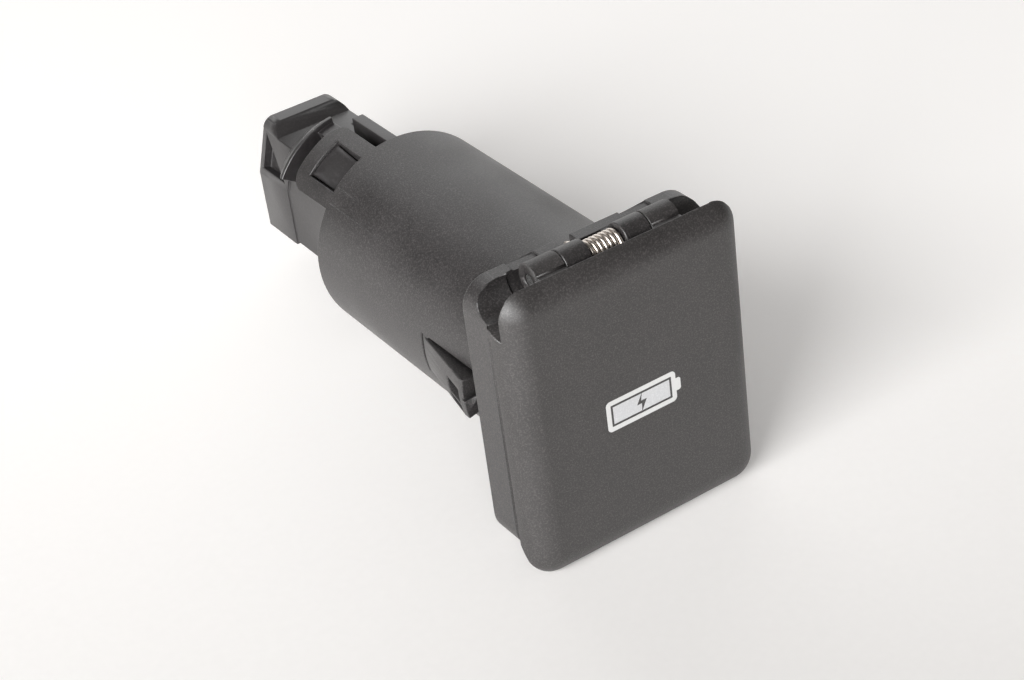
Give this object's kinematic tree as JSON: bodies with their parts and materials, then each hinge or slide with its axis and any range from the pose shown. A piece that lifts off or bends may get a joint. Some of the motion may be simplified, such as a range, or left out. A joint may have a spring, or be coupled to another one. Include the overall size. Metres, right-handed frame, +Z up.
{
  "type": "usb charging socket",
  "caption": "Panel-mount USB charging socket: square bezel with a sprung hinged lid, round barrel with snap tabs and latch tongues, and a shrouded harness connector behind.",
  "frame": {"origin": "on the barrel's axis, in the plane where the back of the bezel meets the panel", "axes": "+X right as seen from the lid, +Y from the lid back along the barrel to the harness connector, +Z up, towards the lid's hinge"},
  "size_m": [0.0346, 0.0814, 0.0408],
  "materials": {
    "housing_plastic": "moulded black plastic with a fine satin grain",
    "lid_plastic": "moulded black plastic with a fine grain",
    "pin_steel": "plain drawn steel",
    "spring_steel": "bright spring wire",
    "insert_plastic": "smooth black moulding with a soft shine",
    "terminal_tin": "tinned contact metal",
    "board_laminate": "green solder mask",
    "fascia_plastic": "moulded black plastic",
    "shell_nickel": "nickel plated sheet",
    "port_plastic": "white moulded insulator",
    "contact_gold": "gold flashed spring contact",
    "ferrite": "grey ferrite",
    "can_aluminium": "drawn aluminium can",
    "chip_epoxy": "black moulded epoxy",
    "chip_ceramic": "pale ceramic",
    "capacitor_ceramic": "tan ceramic"
  },
  "bodies": {
    "housing": {"housing": "housing_plastic", "hinge_pin": "pin_steel", "lid_spring": "spring_steel", "connector_body": "insert_plastic", "terminal_supply": "terminal_tin", "terminal_ground": "terminal_tin", "circuit_board": "board_laminate", "port_fascia": "fascia_plastic", "usb_shell": "shell_nickel", "usb_insulator": "port_plastic", "usb_contacts_upper": "contact_gold", "usb_contacts_lower": "contact_gold", "power_choke": "ferrite", "input_capacitor": "can_aluminium", "output_capacitor": "can_aluminium", "rectifier_diode": "chip_epoxy", "fuse": "chip_ceramic", "converter_chip": "chip_epoxy", "port_controller_chip": "chip_epoxy", "ceramic_capacitors": "capacitor_ceramic", "chip_resistors": "chip_epoxy"},
    "lid": {"lid": "lid_plastic"}
  },
  "joints": [
    {"name": "lid_hinge", "type": "hinge", "parent": "housing", "child": "lid", "pos_m": [0, -0.0053, 0.018], "axis": [-1, 0, 0], "range_deg": [0, 100], "stiffness_Nm_per_rad": 0.01, "springref_deg": -45.84, "deforming": ["lid_spring"]}
  ]
}
